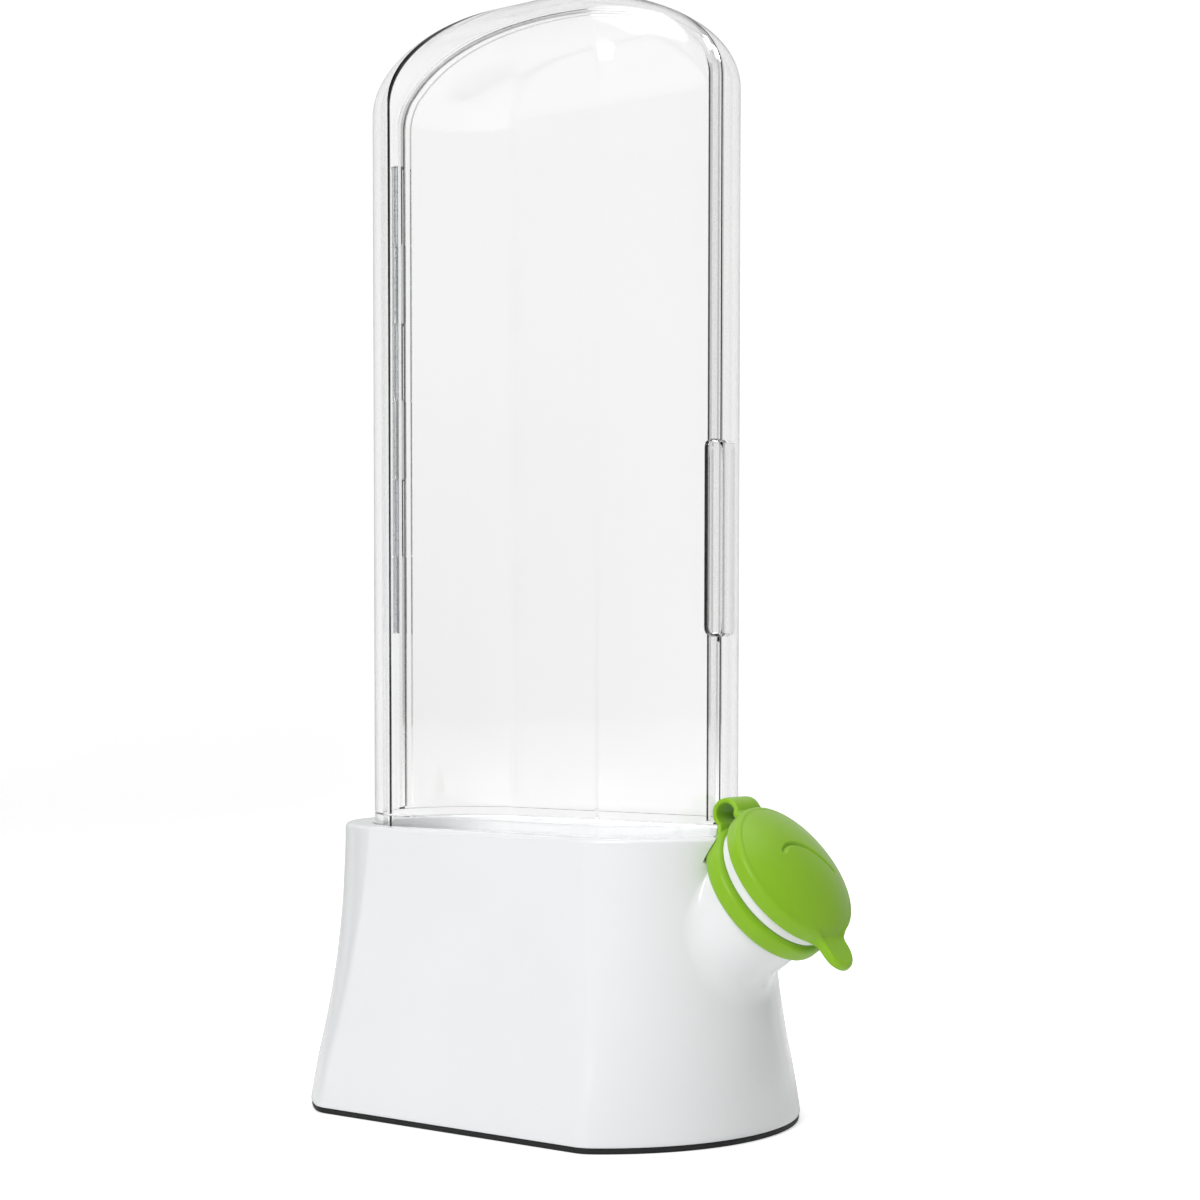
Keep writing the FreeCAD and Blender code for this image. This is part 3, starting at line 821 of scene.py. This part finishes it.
collarLow = -neck["lipThick"] - neck["collarThick"] + 0.05
collarHigh = -neck["lipThick"] - 0.05
capCollar = turnedSolid("capCollar", roundedSection(collarLow, collarHigh, neck["groove"] + 0.05,
                                                    neck["collarRadius"], 1.5, 7), 128, "base",
                        limeSilicone)
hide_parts("cap_collar")
outward(capCollar, 50)

strap = {"width": 10.0, "thick": 1.4, "loop": 3.2, "distance": 20.2, "rootSpread": 1.8}


def makeStrap():
    # A flat band carried round a teardrop loop from the collar's edge to the cap's edge
    centre = -neck["lipThick"] / 2
    turn = np.radians(np.linspace(215, -35, 40))
    along = centre + strap["loop"] * np.cos(turn)
    across = strap["distance"] + strap["loop"] * np.sin(turn)
    lowLeg, highLeg = -neck["lipThick"] - neck["collarThick"] / 2, cap["side"] / 2 + 0.3
    along = np.concatenate([[lowLeg, lowLeg], along, [highLeg, highLeg]])
    across = np.concatenate([[15.6, 16.6], across, [16.8, 15.6]])
    t = np.linspace(0, 1, len(along))
    fine = np.linspace(0, 1, 90)
    along, across = np.interp(fine, t, along), np.interp(fine, t, across)
    for _ in range(6):
        along[1:-1] = (along[:-2] + 2 * along[1:-1] + along[2:]) / 4
        across[1:-1] = (across[:-2] + 2 * across[1:-1] + across[2:]) / 4
    dA, dC = np.gradient(along), np.gradient(across)
    size = np.hypot(dA, dC)
    nA, nC = -dC / size, dA / size
    ends = np.exp(-((fine - 0) / 0.08) ** 2) + np.exp(-((fine - 1) / 0.08) ** 2)
    half = strap["width"] / 2 + strap["rootSpread"] * ends
    thick = strap["thick"] / 2 * (1 + 0.35 * ends)
    ring = np.linspace(0, 2 * np.pi, 28, endpoint=False)
    # Section: a super-ellipse, so the band has flat faces and round edges
    u = np.sign(np.cos(ring)) * np.abs(np.cos(ring)) ** 0.35
    v = np.sign(np.sin(ring)) * np.abs(np.sin(ring)) ** 0.35
    side = half[:, None] * u
    push = thick[:, None] * v
    points = neckPlace(along[:, None] + nA[:, None] * push, across[:, None] + nC[:, None] * push, side)
    count = len(points)
    faces = gridFaces(count, 28, False, True)
    faces += [list(range(28))[::-1], list(range((count - 1) * 28, count * 28))]
    piece = addMesh("capStrap", points.reshape(-1, 3), faces, None, limeSilicone)
    outward(piece, 60)
    start = neckPlace(lowLeg + 0.6, 18.0, 0.0) * mm
    end = neckPlace(highLeg - 0.6, 18.0, 0.0) * mm
    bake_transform(piece)
    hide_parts("cap_strap")
    return piece


capStrap = makeStrap()

print("studio")

studio = {
    "floorColour": "f7f7f7", "cardColour": "47494b", "skyColour": "f8f8f8",
    "glow": 0.45, "wash": 0.44, "backdrop": 1.05, "throughClear": 0.62,
    "eye": (0.3682, -0.4712, 0.1123), "azimuth": 38.0, "pitch": 2.7, "focalPixels": 2359.7,
    "centre": (552.1, 778.0), "frame": 1200, "sensor": 36,
}


def seenOnly(tree, seen, lit):
    # One value for rays that look straight at a thing or through clear plastic, another for rays
    # that light or mirror it
    path = addNode(tree, "ShaderNodeLightPath")
    bounced = addNode(tree, "ShaderNodeMath", {"operation": "MAXIMUM"},
                      links=[(path, "Is Diffuse Ray", 0), (path, "Is Glossy Ray", 1)])
    dim = addNode(tree, "ShaderNodeMath", {"operation": "SUBTRACT", "use_clamp": True},
                  links=[(bounced, 0, 0), (path, "Is Transmission Ray", 1)])
    return addNode(tree, "ShaderNodeMapRange", inputs={1: 0.0, 2: 1.0, 3: seen, 4: lit}, links=[(dim, 0, 0)])


def makeFloor():
    # A sweep: flat floor that rises behind the object in a quarter circle
    run = np.linspace(-3, 1.2, 20)
    bend = np.linspace(0, np.pi / 2, 24)[1:]
    y = np.concatenate([run, 1.2 + 0.9 * np.sin(bend), [2.1]])
    z = np.concatenate([np.zeros(20), 0.9 * (1 - np.cos(bend)), [4.0]])
    x = np.linspace(-4, 4, 9)
    turn = math.radians(studio["azimuth"])
    gx = x[None, :] * math.cos(turn) - y[:, None] * math.sin(turn)
    gy = x[None, :] * math.sin(turn) + y[:, None] * math.cos(turn)
    points = np.stack(np.broadcast_arrays(gx, gy, z[:, None]), axis=-1)
    material, tree, shader = newMaterial("paleStudioPaper")
    shader.inputs["Base Color"].default_value = hexColour(studio["floorColour"])
    shader.inputs["Roughness"].default_value = 0.7
    shader.inputs["Emission Color"].default_value = hexColour("ffffff")
    # The paper glows white when seen, also through the clear parts, yet lights nothing itself
    glow = seenOnly(tree, studio["glow"], 0.0)
    tree.links.new(glow.outputs[0], shader.inputs["Emission Strength"])
    floor = addMesh("studioSweep", points.reshape(-1, 3) / mm, gridFaces(len(y), 9), None, material)
    return floor


studioSweep = makeFloor()


def addLamp(name, place, aim, size, power):
    data = bpy.data.lights.new(name, "AREA")
    data.shape = "RECTANGLE"
    data.size, data.size_y = size
    data.energy = power
    lamp = bpy.data.objects.new(name, data)
    lamp.location = place
    lamp.rotation_euler = (Vector(aim) - Vector(place)).to_track_quat("-Z", "Y").to_euler()
    bpy.context.scene.collection.objects.link(lamp)
    return lamp


addLamp("keyLamp", place=(0.2, -1.6, 1.35), aim=(0, 0, 0.1), size=(0.5, 0.8), power=20)
addLamp("topLamp", place=(0.1, 0.3, 1.7), aim=(0, 0, 0), size=(1.2, 1.2), power=7)


def addCard(name, right, width, turned, forward=0.15, height=0.75, lift=0.02):
    # An upright card beside the set, just outside the picture, that darkens the clear edges
    turn = math.radians(studio["azimuth"])
    ahead = np.array([-math.sin(turn), math.cos(turn), 0.0])
    aside = np.array([math.cos(turn), math.sin(turn), 0.0])
    middle = aside * right + ahead * forward
    t = math.radians(turned)
    along = aside * math.cos(t) + ahead * math.sin(t)
    up = np.array([0, 0, 1.0])
    points = [middle + along * a * width / 2 + up * b for a, b in
              ((-1, lift), (1, lift), (1, lift + height), (-1, lift + height))]
    material, tree, shader = newMaterial(name + "Paint")
    shader.inputs["Base Color"].default_value = hexColour(studio["cardColour"])
    shader.inputs["Roughness"].default_value = 0.9
    shader.inputs["Specular IOR Level"].default_value = 0.0
    card = addMesh(name, np.array(points) / mm, [[0, 1, 2, 3]], None, material)
    card.visible_camera = False
    card.visible_transmission = False
    return card


addCard("darkCardLeft", right=-0.55, width=0.45, turned=30)
addCard("darkCardRight", right=0.55, width=0.40, turned=-30)

world = bpy.data.worlds.new("paleStudio")
world.use_nodes = True
world.node_tree.nodes["Background"].inputs[0].default_value = hexColour(studio["skyColour"])
path = addNode(world.node_tree, "ShaderNodeLightPath")
sky = addNode(world.node_tree, "ShaderNodeMapRange",
              inputs={1: 0.0, 2: 1.0, 3: studio["backdrop"], 4: studio["throughClear"]},
              links=[(path, "Is Transmission Ray", 0)])
wash = seenOnly(world.node_tree, studio["backdrop"], studio["wash"])
world.node_tree.links.new(sky.outputs[0], wash.inputs[3])
world.node_tree.links.new(wash.outputs[0], world.node_tree.nodes["Background"].inputs[1])
bpy.context.scene.world = world

lens = bpy.data.cameras.new("photoCamera")
lens.sensor_fit = "HORIZONTAL"
lens.sensor_width = studio["sensor"]
lens.lens = studio["focalPixels"] / studio["frame"] * studio["sensor"]
lens.shift_x = (studio["frame"] / 2 - studio["centre"][0]) / studio["frame"]
lens.shift_y = (studio["centre"][1] - studio["frame"] / 2) / studio["frame"]
lens.clip_start = 0.01
photoCamera = bpy.data.objects.new("photoCamera", lens)
bpy.context.scene.collection.objects.link(photoCamera)
photoCamera.location = studio["eye"]
photoCamera.rotation_euler = (math.radians(90 - studio["pitch"]), 0, math.radians(studio["azimuth"]))
bpy.context.scene.camera = photoCamera
bpy.context.scene.view_settings.view_transform = "Standard"
